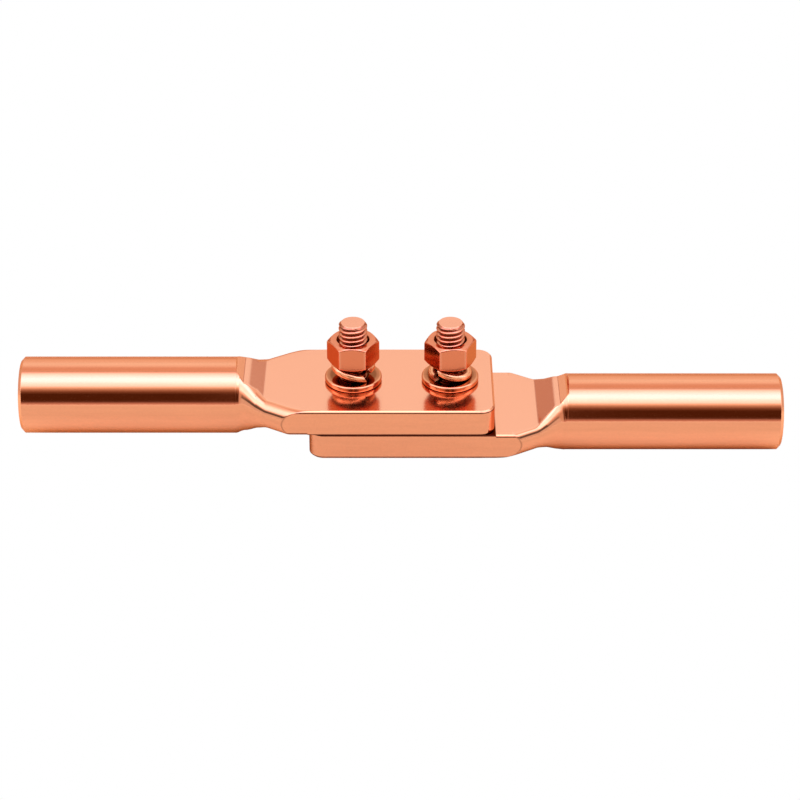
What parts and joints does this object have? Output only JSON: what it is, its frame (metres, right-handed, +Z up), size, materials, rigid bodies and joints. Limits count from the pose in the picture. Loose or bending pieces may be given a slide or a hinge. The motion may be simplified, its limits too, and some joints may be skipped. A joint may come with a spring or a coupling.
{
  "type": "jumper clamp",
  "caption": "Bolted copper jumper clamp: tubular crimp lugs with flat forged palms stacked face to face and held by hex bolts, nuts and spring washers.",
  "frame": {"origin": "middle of the bolted joint along X and Y, at the lowest point of the lower barrel, which is what the clamp lies on", "axes": "+X along the conductors from the upper lug's barrel to the lower lug's barrel, +Z up along the bolts towards the nuts, +Y away from the viewer"},
  "size_m": [0.2676, 0.045, 0.0493],
  "materials": {
    "lug_copper": "polished copper",
    "washer_copper": "polished copper",
    "fastener_copper": "copper, rolled and turned, satin polish"
  },
  "bodies": {
    "clamp": {"upper_lug": "lug_copper", "lower_lug": "lug_copper", "left_flat_washer": "washer_copper", "right_flat_washer": "washer_copper", "left_spring_washer": "washer_copper", "right_spring_washer": "washer_copper"},
    "left_bolt_body": {"left_bolt": "fastener_copper"},
    "right_bolt_body": {"right_bolt": "fastener_copper"},
    "left_nut_body": {"left_nut": "fastener_copper"},
    "right_nut_body": {"right_nut": "fastener_copper"}
  },
  "joints": [
    {"name": "left_bolt_turn", "type": "hinge", "parent": "clamp", "child": "left_bolt_body", "pos_m": [-0.017, 0, 0.0169], "axis": [0, 0, -1], "range_deg": [0, 2700]},
    {"name": "right_bolt_turn", "type": "hinge", "parent": "clamp", "child": "right_bolt_body", "pos_m": [0.017, 0, 0.0169], "axis": [0, 0, -1], "range_deg": [0, 2700]},
    {"name": "left_nut_travel", "type": "slide", "parent": "clamp", "child": "left_nut_body", "axis": [0, 0, 1], "range_m": [0, 0.0132]},
    {"name": "right_nut_travel", "type": "slide", "parent": "clamp", "child": "right_nut_body", "axis": [0, 0, 1], "range_m": [0, 0.0132]}
  ],
  "couplings": [
    {"joint": "left_nut_travel", "follows": "left_bolt_turn", "m_per_rad": 0.00027852},
    {"joint": "right_nut_travel", "follows": "right_bolt_turn", "m_per_rad": 0.00027852}
  ]
}
